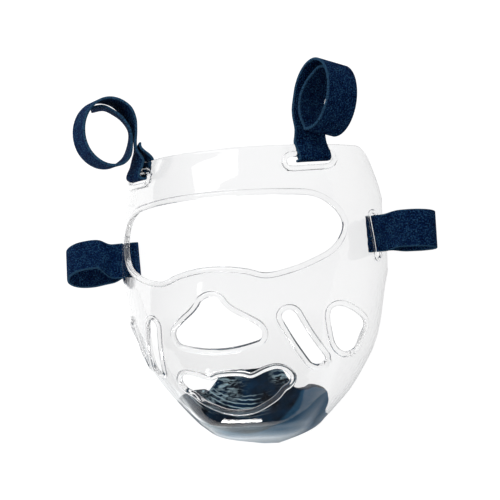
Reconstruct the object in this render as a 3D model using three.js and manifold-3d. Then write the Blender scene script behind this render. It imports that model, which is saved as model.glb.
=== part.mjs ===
// A clear sparring face shield, lying face up on the flat rear rim of its shell.
// X runs across the face, Y from the chin to the forehead and Z up from the rim to the front, in millimetres.
import * as THREE from 'three';
import { mergeVertices } from 'three/addons/utils/BufferGeometryUtils.js';
import Module from 'manifold-3d';

// Shell wall and its mesh
const WALL = 2.4;
const CENTRE_ROUND = 8;
const SHELL_ROWS = 26;
const SHELL_COLUMNS = 24;

// Shell sections from the forehead to the chin tip: place along the face, height of the front above the rim,
// half width at the rim, and the power of the superellipse that joins the two.
const SECTIONS = [
  { y: 73.5, front: 76, half: 84, bulge: 1.6 },
  { y: 55, front: 83.5, half: 89.5, bulge: 1.65 },
  { y: 32, front: 88.5, half: 95.5, bulge: 1.6 },
  { y: 9, front: 92, half: 97.5, bulge: 1.65 },
  { y: -14, front: 95.5, half: 97.5, bulge: 1.75 },
  { y: -37, front: 100, half: 92, bulge: 1.9 },
  { y: -57, front: 91.5, half: 87.5, bulge: 2.05 },
  { y: -73.5, front: 80.5, half: 81.5, bulge: 2.1 },
  { y: -89, front: 70, half: 72, bulge: 2.15 },
  { y: -103, front: 61.5, half: 61.5, bulge: 2.2 },
  { y: -114, front: 56, half: 50.5, bulge: 2.4 },
  { y: -120.5, front: 49.5, half: 43.5, bulge: 2.6 },
  { y: -129.5, front: 35, half: 32, bulge: 2.8 },
  { y: -139, front: 0, half: 5.5, bulge: 3 },
];

// Top edge, seen from the side: it droops from the middle towards the ears and ends in a round corner.
const TOP_MIDDLE = { y: 68.5, z: 80 };
const TOP_EAR_Y = 65;
const TOP_CORNER = 13;

// Low arch in the rim at each ear, which lets the side strap pass under the edge.
const ARCH = { y: 2, half: 24, rise: 5.6, below: 1 };

// Round lip that runs along the edge of every opening.
const LIP_RADIUS = 2;
const LIP_SIDES = 6;

// Free edges of the openings. A half outline runs from the top of the centre line to the bottom of it.
const EYE_HALF = [
  [0, 36.3], [24, 35.8], [45, 34.5], [63, 32], [70.5, 27.5], [77, 19], [79, 10], [73.5, -2],
  [62, -9], [49, -13.3], [36, -15], [25, -11.5], [12, -9], [0, -8.2],
];
const NOSE_HALF = [
  [0, -27.4], [6, -29.8], [8.5, -33.3], [12.5, -37.4], [22.5, -44.3], [28.5, -49.2], [30, -53.5],
  [28.3, -58], [22.5, -60], [12, -62], [0, -62.9],
];
const MOUTH_HALF = [
  [0, -82], [8, -82.6], [14, -84.3], [25.5, -80.5], [32, -79.3], [36.5, -81.5], [38.7, -86],
  [36.5, -90], [31.5, -93], [26, -98], [18, -102.5], [9, -106], [0, -107],
];
const VENT = [
  [70.5, -43.5], [75, -42], [80.5, -46.5], [84, -55.5], [80.5, -65], [76, -73], [72, -73.8], [69, -69],
  [68.7, -58],
];
const CHEEK_SLOT = { from: [48, -45], to: [57, -75.5], half: 4.3 };
const TOP_SLOT = { from: [53, 55.8], to: [71, 55.8], half: 3 };
const SIDE_SLOT = { from: [-10.5, 17.5], to: [14.5, 17.5], half: 3 };
const OUTLINE_STEPS = { large: 38, small: 14 };
const CUT_REACH = 7;

// Reach of the straight cutters past the shell, and the step for slopes on its surface.
const CUTTER = { top: 140, below: 20, side: 130 };
const SLOPE_STEP = 0.2;
const NORMAL_STEP = 0.004;
const SEARCH_STEPS = 30;

// Chin pad: a cup that lies inside the shell's chin, with a front wall that slopes back behind the mouth.
const PAD_GAP = 0.7;
const PAD_BASE = 1;
const PAD_ROWS = 12;
const PAD_WALL = 11;
const PAD_SLOPE = 0.55;
const PAD_REACH = 60;
const PAD_HOLLOW = { scale: 0.8, centreY: -75 };
const PAD_TAPER = 0.75;
const PAD_REAR = { y: -91, z: 20, slope: 0.75 };
const PAD_FROM_ROW = 7;
const PAD_EDGE = [
  { x: 0, y: -81, z: 27.5 },
  { x: 14, y: -81, z: 27.5 },
  { x: 20, y: -82, z: 28 },
  { x: 23.5, y: -84.5, z: 29.4 },
  { x: 27.5, y: -90, z: 32.4 },
  { x: 31.5, y: -95, z: 35 },
  { x: 36, y: -97, z: 35.8 },
  { x: 41, y: -96, z: 35.8 },
  { x: 46, y: -94, z: 36 },
  { x: 51, y: -94.5, z: 36 },
  { x: 55, y: -97.5, z: 36 },
  { x: 57, y: -104, z: 36 },
];

// Hook-and-loop straps
const STRAP = { width: 25, thickness: 1.9 };
const TOP_STRAP_STEPS = 60;
const SIDE_STRAP_STEPS = 36;

// Rings of the top straps. The slot's direction is its turn from X towards the floor. Shift moves the strap
// along the slot, rise and out place the ring's middle from there, and wide is half the ring's width, as
// RING_TALL is half its height. Lean tips the ring sideways, and spin turns three stretches about the ring's
// upright: the free end inside the ring, the ring, and the neck. Drift moves the inner leg along the slot.
const TOP_STRAPS = [
  {
    name: 'top_strap_left', side: -1, turn: 47, shift: 4, rise: 33.4, out: 18.5, wide: 20,
    lean: 0, spin: [19, 0, 19], drift: 0,
  },
  {
    name: 'top_strap_right', side: 1, turn: 49, shift: 4, rise: 39.5, out: 17, wide: 17,
    lean: 12, spin: [19, 7, 7], drift: 4,
  },
];
const RING_TALL = 23;
const LEAN = { from: 20, to: 34, near: 4, far: 16 };
const DRIFT = { from: 1.6, to: 3.6 };

// Bow is the strap's curve across the wall, from the slot to where the strap is flat.
const BOW = { height: 0.8, from: 13, to: 22 };

// Middle line of the right side strap, seen along Y: X across and Z up. Middle places the strap along its
// slot. Twist turns the outer end about a line that runs from the low point to the high one, and skew pulls
// its lower edge towards the shell.
const SIDE_STRAPS = [
  { name: 'side_strap_left', side: -1, middle: 0.8, twist: 33, skew: 0.22 },
  { name: 'side_strap_right', side: 1, middle: 3.2, twist: 9, skew: 0 },
];
const SIDE_LOOP = [
  [91.6, 17.5], [87.5, 15.3], [86.2, 11.5], [87.2, 6.2], [90.7, 3], [95.2, 2.4], [101, 3.5], [112, 9],
  [124, 13], [132.5, 19.5], [135.8, 27], [133.5, 33.5], [126.5, 36.2], [116, 33.5], [106, 27], [97.3, 20.6],
];
const SIDE_TWIST = { from: 99.5, to: 113, lowX: 100, lowZ: 13, highX: 122, highZ: 25 };

const wasm = await Module();
wasm.setup();

function toSolid(geometry) {
  geometry.deleteAttribute('normal');
  geometry.deleteAttribute('uv');
  const merged = mergeVertices(geometry);
  return new wasm.Manifold(new wasm.Mesh({
    numProp: 3,
    vertProperties: new Float32Array(merged.attributes.position.array),
    triVerts: new Uint32Array(merged.index.array),
  }));
}

function toGeometry(body) {
  const mesh = body.getMesh();
  const geometry = new THREE.BufferGeometry();
  geometry.setAttribute('position', new THREE.BufferAttribute(mesh.vertProperties, 3));
  geometry.setIndex(new THREE.BufferAttribute(mesh.triVerts, 1));
  geometry.computeVertexNormals();
  return geometry;
}

// Joins rings of points into one closed body. A looped body joins its last ring to its first. Otherwise a strip
// of faces between the two halves of the ring closes each end.
function loft(rings, looped = false) {
  const count = rings[0].length;
  const points = rings.flat();
  const faces = [];
  const spans = looped ? rings.length : rings.length - 1;
  for (let r = 0; r < spans; r += 1) {
    const near = r * count;
    const far = ((r + 1) % rings.length) * count;
    for (let i = 0; i < count; i += 1) {
      const j = (i + 1) % count;
      faces.push([near + i, near + j, far + j], [near + i, far + j, far + i]);
    }
  }
  if (!looped) {
    const last = points.length - count;
    for (let i = 0; i < count / 2 - 1; i += 1) {
      const [a, b, c, d] = [i, i + 1, count - 2 - i, count - 1 - i];
      faces.push([a, c, b], [a, d, c]);
      faces.push([last + a, last + b, last + c], [last + a, last + c, last + d]);
    }
  }
  const geometry = new THREE.BufferGeometry();
  geometry.setAttribute('position', new THREE.Float32BufferAttribute(points.flatMap((p) => p.toArray()), 3));
  const volume = faces.reduce((sum, [a, b, c]) => sum + points[a].dot(points[b].clone().cross(points[c])), 0);
  geometry.setIndex(faces.flatMap(([a, b, c]) => (volume > 0 ? [a, b, c] : [a, c, b])));
  return geometry;
}

// Shell surface
const formCurve = new THREE.CatmullRomCurve3(
  SECTIONS.map((row) => new THREE.Vector3(row.y, row.front, row.half)), false, 'catmullrom', 0.5,
);
const bulgeCurve = new THREE.CatmullRomCurve3(
  SECTIONS.map((row) => new THREE.Vector3(row.bulge, 0, 0)), false, 'catmullrom', 0.5,
);

function sectionAt(along) {
  const form = formCurve.getPoint(along);
  const bulge = bulgeCurve.getPoint(along).x;
  return { y: form.x, front: Math.max(form.y, 0), half: form.z, bulge };
}

function alongAt(y) {
  let [low, high] = [0, 1];
  for (let i = 0; i < SEARCH_STEPS; i += 1) {
    const middle = (low + high) / 2;
    if (formCurve.getPoint(middle).x > y) low = middle;
    else high = middle;
  }
  return (low + high) / 2;
}

// The superellipse is drawn in a stretched width, so that the front turns softly at the centre line.
const stretch = (half) => (Math.hypot(half, CENTRE_ROUND) - CENTRE_ROUND) / half;

function acrossToX(reach, half) {
  return Math.sqrt((reach * stretch(half) + CENTRE_ROUND) ** 2 - CENTRE_ROUND ** 2);
}

function xToAcross(x, half) {
  return (Math.hypot(x, CENTRE_ROUND) - CENTRE_ROUND) / stretch(half);
}

function surface(along, across) {
  const { y, front, half, bulge } = sectionAt(along);
  const turn = Math.abs(across) * Math.PI / 2;
  const reach = half * Math.sin(turn) ** (2 / bulge);
  const height = front * Math.max(Math.cos(turn), 0) ** (2 / bulge);
  return new THREE.Vector3(Math.sign(across) * acrossToX(reach, half), y, height);
}

function surfaceNormal(along, across) {
  const step = NORMAL_STEP;
  const u = THREE.MathUtils.clamp(along, step, 1 - 3 * step);
  const v = THREE.MathUtils.clamp(across, -1 + 2 * step, 1 - 2 * step);
  const down = surface(u + step, v).sub(surface(u - step, v));
  const right = surface(u, v + step).sub(surface(u, v - step));
  return down.cross(right).normalize();
}

function heightAt(x, y) {
  const { front, half, bulge } = sectionAt(alongAt(y));
  const share = Math.min(xToAcross(x, half) / half, 1);
  return front * (1 - share ** bulge) ** (1 / bulge);
}

function widthAt(y, z) {
  const { front, half, bulge } = sectionAt(alongAt(y));
  return acrossToX(half * (1 - (z / front) ** bulge) ** (1 / bulge), half);
}

// A point in the middle of the wall with its outward normal, from its place seen from the front or the side.
function onFace([x, y]) {
  const step = SLOPE_STEP;
  const slopeX = (heightAt(x + step, y) - heightAt(x - step, y)) / (2 * step);
  const slopeY = (heightAt(x, y + step) - heightAt(x, y - step)) / (2 * step);
  const normal = new THREE.Vector3(-slopeX, -slopeY, 1).normalize();
  return { point: new THREE.Vector3(x, y, heightAt(x, y)).addScaledVector(normal, -WALL / 2), normal };
}

function onSide([y, z]) {
  const step = SLOPE_STEP;
  const slopeY = (widthAt(y + step, z) - widthAt(y - step, z)) / (2 * step);
  const slopeZ = (widthAt(y, z + step) - widthAt(y, z - step)) / (2 * step);
  const normal = new THREE.Vector3(1, -slopeY, -slopeZ).normalize();
  return { point: new THREE.Vector3(widthAt(y, z), y, z).addScaledVector(normal, -WALL / 2), normal };
}

function mirrorPlace({ point, normal }) {
  const flip = new THREE.Vector3(-1, 1, 1);
  return { point: point.clone().multiply(flip), normal: normal.clone().multiply(flip) };
}

// The shell's surface moved inwards by a depth, from the forehead edge to the chin tip, as rows of points.
function layer(depth, base, rows, fromRow = 0) {
  const start = fromRow / (SECTIONS.length - 1);
  return Array.from({ length: rows + 1 }, (_, r) => {
    const along = start + (1 - start) * r / rows;
    return Array.from({ length: SHELL_COLUMNS + 1 }, (__, c) => {
      const across = 2 * c / SHELL_COLUMNS - 1;
      const point = surface(along, across).addScaledVector(surfaceNormal(along, across), -depth);
      const onRim = c === 0 || c === SHELL_COLUMNS || r === rows;
      point.z = onRim ? base : Math.max(point.z, base);
      return point;
    });
  });
}

// Outlines
function closedOutline(points, steps) {
  const curve = new THREE.CatmullRomCurve3(points.map(([a, b]) => new THREE.Vector3(a, b, 0)), true);
  return curve.getSpacedPoints(steps).slice(0, steps).map((p) => [p.x, p.y]);
}

function bothSides(half) {
  const other = half.slice(1, -1).reverse().map(([x, y]) => [-x, y]);
  return closedOutline([...half, ...other], OUTLINE_STEPS.large);
}

function obround({ from, to, half }) {
  const along = Math.atan2(to[1] - from[1], to[0] - from[0]);
  const perEnd = OUTLINE_STEPS.small / 2;
  const arc = (centre, start) => Array.from({ length: perEnd }, (_, i) => {
    const angle = start + Math.PI * i / (perEnd - 1);
    return [centre[0] + half * Math.cos(angle), centre[1] + half * Math.sin(angle)];
  });
  return [...arc(to, along - Math.PI / 2), ...arc(from, along + Math.PI / 2)];
}

function grow(outline, distance) {
  const area = outline.reduce((sum, [x, y], i) => {
    const [nextX, nextY] = outline[(i + 1) % outline.length];
    return sum + x * nextY - nextX * y;
  }, 0);
  return outline.map(([x, y], i) => {
    const before = outline[(i + outline.length - 1) % outline.length];
    const after = outline[(i + 1) % outline.length];
    const run = [after[0] - before[0], after[1] - before[1]];
    const scale = Math.sign(area) * distance / Math.hypot(...run);
    return [x + run[1] * scale, y - run[0] * scale];
  });
}

// A round lip along a path of places on the wall.
function lip(places) {
  const rings = places.map(({ point, normal }, i) => {
    const before = places[(i + places.length - 1) % places.length].point;
    const after = places[(i + 1) % places.length].point;
    const inward = after.clone().sub(before).cross(normal).normalize();
    return Array.from({ length: LIP_SIDES }, (_, k) => {
      const angle = 2 * Math.PI * k / LIP_SIDES;
      return point.clone()
        .addScaledVector(normal, LIP_RADIUS * Math.sin(angle))
        .addScaledVector(inward, LIP_RADIUS * Math.cos(angle));
    });
  });
  return toSolid(loft(rings, true));
}

// A cutter that goes through the wall along its normals.
function cutThrough(places) {
  const ring = (reach) => places.map(({ point, normal }) => point.clone().addScaledVector(normal, reach));
  return toSolid(loft([ring(-CUT_REACH), ring(CUT_REACH)]));
}

// A cutter that goes straight up through the face.
function cutUpright(outline) {
  const shape = new THREE.Shape(outline.map(([x, y]) => new THREE.Vector2(x, y)));
  const prism = new THREE.ExtrudeGeometry(shape, { depth: CUTTER.top + CUTTER.below, bevelEnabled: false });
  return toSolid(prism.translate(0, 0, -CUTTER.below));
}

// A cutter with a side outline, Y and Z, that goes right across the face.
function cutAcross(shape) {
  const options = { depth: 2 * CUTTER.side, bevelEnabled: false, curveSegments: 10 };
  const prism = new THREE.ExtrudeGeometry(shape, options);
  prism.translate(0, 0, -CUTTER.side);
  const sideways = new THREE.Matrix4().makeBasis(
    new THREE.Vector3(0, 1, 0), new THREE.Vector3(0, 0, 1), new THREE.Vector3(1, 0, 0),
  );
  return toSolid(prism.applyMatrix4(sideways));
}

function topTrim() {
  const cornerY = TOP_EAR_Y - TOP_CORNER;
  const shape = new THREE.Shape();
  shape.moveTo(cornerY, -CUTTER.below);
  shape.lineTo(cornerY, 0);
  shape.absarc(cornerY, TOP_CORNER, TOP_CORNER, -Math.PI / 2, 0);
  shape.lineTo(TOP_MIDDLE.y, TOP_MIDDLE.z);
  shape.lineTo(TOP_MIDDLE.y, CUTTER.top);
  shape.lineTo(CUTTER.top, CUTTER.top);
  shape.lineTo(CUTTER.top, -CUTTER.below);
  return cutAcross(shape);
}

function earArch() {
  const shape = new THREE.Shape();
  shape.absellipse(ARCH.y, -ARCH.below, ARCH.half, ARCH.rise + ARCH.below, 0, 2 * Math.PI);
  return cutAcross(shape);
}

function shieldShell() {
  const outer = layer(0, 0, SHELL_ROWS);
  const inner = layer(WALL, 0, SHELL_ROWS);
  let shell = toSolid(loft(outer.map((row, r) => [...row, ...inner[r].slice().reverse()])));
  shell = shell.subtract(topTrim()).subtract(earArch());

  const lips = [];
  for (const half of [EYE_HALF, NOSE_HALF, MOUTH_HALF]) {
    const path = grow(bothSides(half), LIP_RADIUS);
    shell = shell.subtract(cutUpright(path));
    lips.push(lip(path.map(onFace)));
  }
  const pairs = [
    grow(closedOutline(VENT, OUTLINE_STEPS.small), LIP_RADIUS).map(onFace),
    grow(obround(CHEEK_SLOT), LIP_RADIUS).map(onFace),
    grow(obround(TOP_SLOT), LIP_RADIUS).map(onFace),
    grow(obround(SIDE_SLOT), LIP_RADIUS).map(onSide),
  ];
  for (const right of pairs) {
    for (const places of [right, right.map(mirrorPlace)]) {
      shell = shell.subtract(cutThrough(places));
      lips.push(lip(places));
    }
  }
  return toGeometry(lips.reduce((body, part) => body.add(part), shell));
}

// The room inside the chin: the shell's inner surface, less a small gap, filled down to the rim.
function chinRoom(scale = 1) {
  const rows = layer(WALL + PAD_GAP, PAD_BASE, PAD_ROWS, PAD_FROM_ROW);
  const room = loft(rows);
  room.translate(0, -PAD_HOLLOW.centreY, -PAD_BASE);
  room.scale(scale, scale, scale);
  room.translate(0, PAD_HOLLOW.centreY, scale < 1 ? -PAD_BASE : PAD_BASE);
  return toSolid(room);
}

function chinPad() {
  const edge = [...PAD_EDGE.slice(1).reverse().map((row) => ({ ...row, x: -row.x })), ...PAD_EDGE];
  const rearZ = (y) => PAD_REAR.z + PAD_REAR.slope * (y - PAD_REAR.y);
  const block = edge.map(({ x, y, z }) => [
    new THREE.Vector3(x * PAD_TAPER, y, rearZ(y)),
    new THREE.Vector3(x, y, z),
    new THREE.Vector3(x, y - PAD_REACH, z + PAD_SLOPE * PAD_REACH),
    new THREE.Vector3(x * PAD_TAPER, y - PAD_REACH, rearZ(y - PAD_REACH)),
  ]);
  const plug = chinRoom().intersect(toSolid(loft(block)));
  const drop = PAD_WALL * Math.hypot(1, PAD_SLOPE);
  const middle = PAD_EDGE[0];
  const behind = (y) => middle.z - drop - PAD_SLOPE * (y - middle.y);
  const [near, far] = [middle.y - PAD_REACH, middle.y + PAD_REACH / 2];
  const shape = new THREE.Shape();
  shape.moveTo(near, -2 * PAD_WALL);
  shape.lineTo(near, behind(near));
  shape.lineTo(far, behind(far));
  shape.lineTo(far, -2 * PAD_WALL);
  const hollow = chinRoom(PAD_HOLLOW.scale).intersect(cutAcross(shape));
  return toGeometry(plug.subtract(hollow));
}

// A flat band along a path. Each stop of the path has a place, a direction across the band, an outward one, and
// the bow that lifts the band's middle above its edges.
function band(stops, looped) {
  const rings = stops.map(({ point, across, outward, bow }) => {
    const corner = (a, b) => point.clone()
      .addScaledVector(across, a * STRAP.width / 2)
      .addScaledVector(outward, b * STRAP.thickness / 2)
      .addScaledVector(bow, 0.5 - Math.abs(a));
    return [corner(-1, 1), corner(0, 1), corner(1, 1), corner(1, -1), corner(0, -1), corner(-1, -1)];
  });
  return loft(rings, looped);
}

// The middle line of a top strap in its own plane, as height along the strap and distance out from the wall,
// with the strap's spin there. It starts at the free end, runs inside the ring and then once round it, comes
// down outside the wall, goes through the slot, and climbs over the top edge to lie behind its own outer leg.
function topLoop({ rise, out, wide, spin: [end, ring, neck] }) {
  const around = (degrees, inset, spin) => {
    const angle = THREE.MathUtils.degToRad(degrees);
    return [
      rise + (RING_TALL - inset) * Math.cos(angle),
      out + (wide - inset) * Math.sin(angle),
      spin,
    ];
  };
  const freeEnd = [
    [30, 2.6, 1], [0, 4.6, 1], [-28, 6.2, 1], [-56, 5.4, 1], [-85, 3.4, 0.95], [-112, 2.5, 0.7], [-140, 0.6, 0.35],
  ].map(([degrees, inset, share]) => around(degrees, inset, THREE.MathUtils.lerp(ring, end, share)));
  const turns = [-167, 168, 144, 120, 96, 72, 48, 24, 0, -24, -48].map((degrees) => around(degrees, 0, ring));
  const join = [[-70, 0.35], [-88, 0.7]].map(([degrees, share]) => (
    around(degrees, 0, THREE.MathUtils.lerp(ring, neck, share))
  ));
  const outerLeg = [[21, -1.1, 0.9], [16, -1.3, 0.35], [12.5, -1.4, 0], [9, -0.2, 0], [5, 2.1, 0], [1.8, 2.9, 0]];
  const innerLeg = [
    [0.4, -3.4, 0], [4, -6, 0], [9, -7.2, 0], [12.8, -8.3, 0],
    [16, -7.4, 0.35], [19, -5.4, 0.7], [22, -4.1, 0.9], [25, -3.9, 0.85],
  ];
  const legs = [...outerLeg, [0, 0, 0], ...innerLeg].map(([height, away, share]) => [height, away, share * neck]);
  const points = [...freeEnd, ...turns, ...join, ...legs];
  const curve = new THREE.CatmullRomCurve3(points.map(([height, away, spin]) => (
    new THREE.Vector3(height, away, THREE.MathUtils.degToRad(spin))
  )));
  return curve.getSpacedPoints(TOP_STRAP_STEPS);
}

function topStrap(row) {
  const turn = THREE.MathUtils.degToRad(row.turn);
  const middle = (TOP_SLOT.from[0] + TOP_SLOT.to[0]) / 2 + row.shift * Math.cos(turn);
  const slot = onFace([middle, TOP_SLOT.from[1]]).point;
  const along = new THREE.Vector3(row.side * Math.cos(turn), 0, -Math.sin(turn));
  const up = new THREE.Vector3(0, 1, 0);
  const out = new THREE.Vector3(row.side * Math.sin(turn), 0, Math.cos(turn));
  slot.x *= row.side;
  const path = topLoop(row);
  const stops = path.map(({ x: height, y: away, z: spin }, i) => {
    const before = path[Math.max(i - 1, 0)];
    const after = path[Math.min(i + 1, path.length - 1)];
    const run = after.clone().sub(before).setZ(0).normalize();
    const leaning = Math.max(
      THREE.MathUtils.smoothstep(height, LEAN.from, LEAN.to),
      THREE.MathUtils.smoothstep(away, LEAN.near, LEAN.far),
    );
    const lean = THREE.MathUtils.degToRad(row.lean) * leaning;
    const sideways = along.clone().applyAxisAngle(out, -lean * row.side);
    const upright = up.clone().applyAxisAngle(out, -lean * row.side);
    const across = sideways.clone().multiplyScalar(Math.cos(spin)).addScaledVector(out, -Math.sin(spin));
    const outwards = out.clone().multiplyScalar(Math.cos(spin)).addScaledVector(sideways, Math.sin(spin));
    const hinge = row.out - row.wide;
    const drift = row.drift * THREE.MathUtils.smoothstep(-away, DRIFT.from, DRIFT.to);
    return {
      point: slot.clone().addScaledVector(up, row.rise).addScaledVector(upright, height - row.rise)
        .addScaledVector(out, hinge).addScaledVector(outwards, away - hinge).addScaledVector(along, drift),
      across,
      outward: upright.multiplyScalar(-run.y).addScaledVector(outwards, run.x),
      bow: out.clone().multiplyScalar(BOW.height * (1 - THREE.MathUtils.smoothstep(height, BOW.from, BOW.to))),
    };
  });
  return band(stops, false);
}

function sideStrap({ side, middle, twist, skew }) {
  const curve = new THREE.CatmullRomCurve3(SIDE_LOOP.map(([x, z]) => new THREE.Vector3(x, 0, z)), true);
  const path = curve.getSpacedPoints(SIDE_STRAP_STEPS).slice(0, SIDE_STRAP_STEPS);
  const stops = path.map(({ x, z }, i) => {
    const before = path[(i + path.length - 1) % path.length];
    const after = path[(i + 1) % path.length];
    const run = after.clone().sub(before).normalize();
    const { from, to, lowX, lowZ, highX, highZ } = SIDE_TWIST;
    const share = THREE.MathUtils.smoothstep(x, from, to);
    const turn = THREE.MathUtils.degToRad(twist) * share;
    const lift = new THREE.Vector3(0, Math.sin(turn), Math.cos(turn));
    const pivot = THREE.MathUtils.mapLinear(x, lowX, highX, lowZ, highZ);
    const pull = skew * share * STRAP.width / 2;
    return {
      point: new THREE.Vector3(side * (x - pull), middle, pivot).addScaledVector(lift, z - pivot),
      across: new THREE.Vector3(side * skew * share, Math.cos(turn), -Math.sin(turn)).normalize(),
      outward: new THREE.Vector3(side * -run.z, 0, 0).addScaledVector(lift, run.x),
      bow: new THREE.Vector3(),
    };
  });
  return band(stops, true);
}

const clearPlastic = new THREE.MeshStandardMaterial({
  color: 0xf2f5f7, roughness: 0.05, metalness: 0, transparent: true, opacity: 0.25,
});
const navyVinyl = new THREE.MeshStandardMaterial({ color: 0x0b1420, roughness: 0.3, metalness: 0 });
const navyWebbing = new THREE.MeshStandardMaterial({ color: 0x141c2b, roughness: 0.95, metalness: 0 });

const shield = new THREE.Group();

function addPiece(name, geometry, material) {
  const mesh = new THREE.Mesh(geometry, material);
  mesh.name = name;
  shield.add(mesh);
}

addPiece('shield_shell', shieldShell(), clearPlastic);
addPiece('chin_pad', chinPad(), navyVinyl);
for (const row of TOP_STRAPS) addPiece(row.name, topStrap(row), navyWebbing);
for (const row of SIDE_STRAPS) addPiece(row.name, sideStrap(row), navyWebbing);

// The origin lies on the surface under the middle of the whole shield.
const box = new THREE.Box3().setFromObject(shield);
const centre = box.getCenter(new THREE.Vector3());
shield.position.set(-centre.x, -centre.y, -box.min.z);

export default shield;
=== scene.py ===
# %% [markdown]
# A clear face shield for sparring, lying face up on its rear rim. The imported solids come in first, as a
# fixed frame, and every piece below is made in that frame, in metres. Sizes are written in millimetres, as
# a maker would note them, and turned to metres once.

# %% Load the frame
import math

import bpy
import numpy as np
from mathutils import Matrix, Vector
from mathutils.bvhtree import BVHTree
from mathutils.geometry import delaunay_2d_cdt
from mathutils.kdtree import KDTree


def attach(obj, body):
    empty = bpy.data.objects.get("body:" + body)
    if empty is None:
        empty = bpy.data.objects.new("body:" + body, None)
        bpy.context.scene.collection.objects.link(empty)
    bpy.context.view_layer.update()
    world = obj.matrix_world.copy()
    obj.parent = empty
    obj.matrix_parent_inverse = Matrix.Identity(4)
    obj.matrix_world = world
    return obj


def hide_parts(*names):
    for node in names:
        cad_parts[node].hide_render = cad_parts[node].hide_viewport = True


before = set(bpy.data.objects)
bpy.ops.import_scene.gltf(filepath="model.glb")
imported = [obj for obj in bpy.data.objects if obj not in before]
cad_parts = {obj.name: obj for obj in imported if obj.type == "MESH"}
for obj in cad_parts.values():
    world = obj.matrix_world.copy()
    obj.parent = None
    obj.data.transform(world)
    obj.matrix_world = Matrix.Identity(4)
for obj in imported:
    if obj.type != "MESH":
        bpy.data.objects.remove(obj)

for name in ("Cube", "Light", "Camera"):
    if name in bpy.data.objects:
        bpy.data.objects.remove(bpy.data.objects[name])
bpy.ops.object.select_all(action="DESELECT")
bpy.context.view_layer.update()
MM = 0.001
FACE_Y = 9.247          # mm, the face's own zero line lies this far up the frame's Y axis

# %% [markdown]
# The moulded form of the shell. The real one is a sheet of polycarbonate drawn over a face-shaped mould. It
# could be sculpted, but a few measured cross sections say more: each gives the place along the face, the
# height of the front, the half width at the rim and how full the curve between them is. A smooth curve runs
# through the rows.

# %% Cross sections of the mould
SECTIONS = np.array([
    (73.5, 76, 84, 1.6), (55, 83.5, 89.5, 1.65), (32, 88.5, 95.5, 1.6), (9, 92, 97.5, 1.65),
    (-14, 95.5, 97.5, 1.75), (-37, 100, 92, 1.9), (-57, 91.5, 87.5, 2.05), (-73.5, 80.5, 81.5, 2.1),
    (-89, 70, 72, 2.15), (-103, 61.5, 61.5, 2.2), (-114, 56, 50.5, 2.4), (-120.5, 49.5, 43.5, 2.6),
    (-129.5, 35, 32, 2.8), (-139, 0, 5.5, 3)])
LAST_ROW = len(SECTIONS) - 1
CENTRE_ROUND = 8        # mm, softens the ridge on the centre line
WALL = 2.4              # mm
print("mould: %.0f mm wide, %.0f mm deep" % (2 * SECTIONS[:, 2].max(), SECTIONS[:, 1].max()))

# %% The moulded face
SLOPE_ROW, SLOPE_ACROSS = 0.04, 0.006   # half steps over which the slope of the face is taken


def section(row):
    """Place, front height, half width and fullness at a row, which may lie between two given ones."""
    row = np.clip(np.asarray(row, float), 0, LAST_ROW)
    ends = np.vstack([2 * SECTIONS[0] - SECTIONS[1], SECTIONS, 2 * SECTIONS[-1] - SECTIONS[-2]])
    first = np.minimum(row.astype(int), LAST_ROW - 1)
    w = (row - first)[..., None]
    a, b, c, d = (ends[first + k] for k in range(4))
    found = (2 * b + (c - a) * w + (2 * a - 5 * b + 4 * c - d) * w ** 2 + (3 * b - a - 3 * c + d) * w ** 3) / 2
    y, front, half, full = np.moveaxis(found, -1, 0)
    return y, np.maximum(front, 0), half, full


def stretch(half):
    """What the soft ridge leaves of the half width, as a share."""
    return (np.hypot(half, CENTRE_ROUND) - CENTRE_ROUND) / half


def surface(row, across):
    """The outer face of the shell. Across runs from -1 at the left rim to 1 at the right one."""
    y, front, half, full = section(row)
    x = half * np.sin(np.asarray(across) * math.pi / 2)
    share = (np.hypot(x, CENTRE_ROUND) - CENTRE_ROUND) / (stretch(half) * half)
    height = front * np.maximum(1 - share ** full, 0) ** (1 / full)
    return np.stack(np.broadcast_arrays(x, y, height), axis=-1)


def outward(row, across):
    """The direction straight out of the outer face. At its very ends there is no slope, so they are avoided."""
    row = np.clip(row, 0.05, LAST_ROW - 0.16)
    across = np.clip(across, -0.99, 0.99)
    down = surface(row + SLOPE_ROW, across) - surface(row - SLOPE_ROW, across)
    right = surface(row, across + SLOPE_ACROSS) - surface(row, across - SLOPE_ACROSS)
    normal = np.cross(down, right)
    return normal / np.linalg.norm(normal, axis=-1, keepdims=True)


def middle(row, across):
    """The middle of the wall."""
    point = surface(row, across) - outward(row, across) * WALL / 2
    point[..., 2] = np.maximum(point[..., 2], 0)
    return point


print("top of the face:", surface(0, 0).round(1))

# %% Places on the mould
ROW_TABLE = np.linspace(0, LAST_ROW, 2601)
Y_TABLE = section(ROW_TABLE)[0]


def row_at(y):
    """The row of the mould at a place along Y."""
    return np.interp(-np.asarray(y, float), -Y_TABLE, ROW_TABLE)


def from_front(points):
    """Row and across of points seen from the front, as X and Y."""
    x, y = np.asarray(points, float).T
    row = row_at(y)
    return np.stack([row, np.arcsin(np.clip(x / section(row)[2], -1, 1)) * 2 / math.pi], axis=-1)


def from_side(points):
    """Row and across of points seen from the right side, as Y and Z."""
    y, z = np.asarray(points, float).T
    row = row_at(y)
    _, front, half, full = section(row)
    reach = half * np.maximum(1 - (np.clip(z, 0, None) / front) ** full, 0) ** (1 / full)
    x = np.sqrt((reach * stretch(half) + CENTRE_ROUND) ** 2 - CENTRE_ROUND ** 2)
    return np.stack([row, np.arcsin(np.clip(x / half, -1, 1)) * 2 / math.pi], axis=-1)


def mirrored(places):
    """The same outline on the other side of the face."""
    return (places * (1, -1))[::-1]


print("face: from %.0f to %.0f mm along Y" % (Y_TABLE[-1], Y_TABLE[0]))


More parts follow.
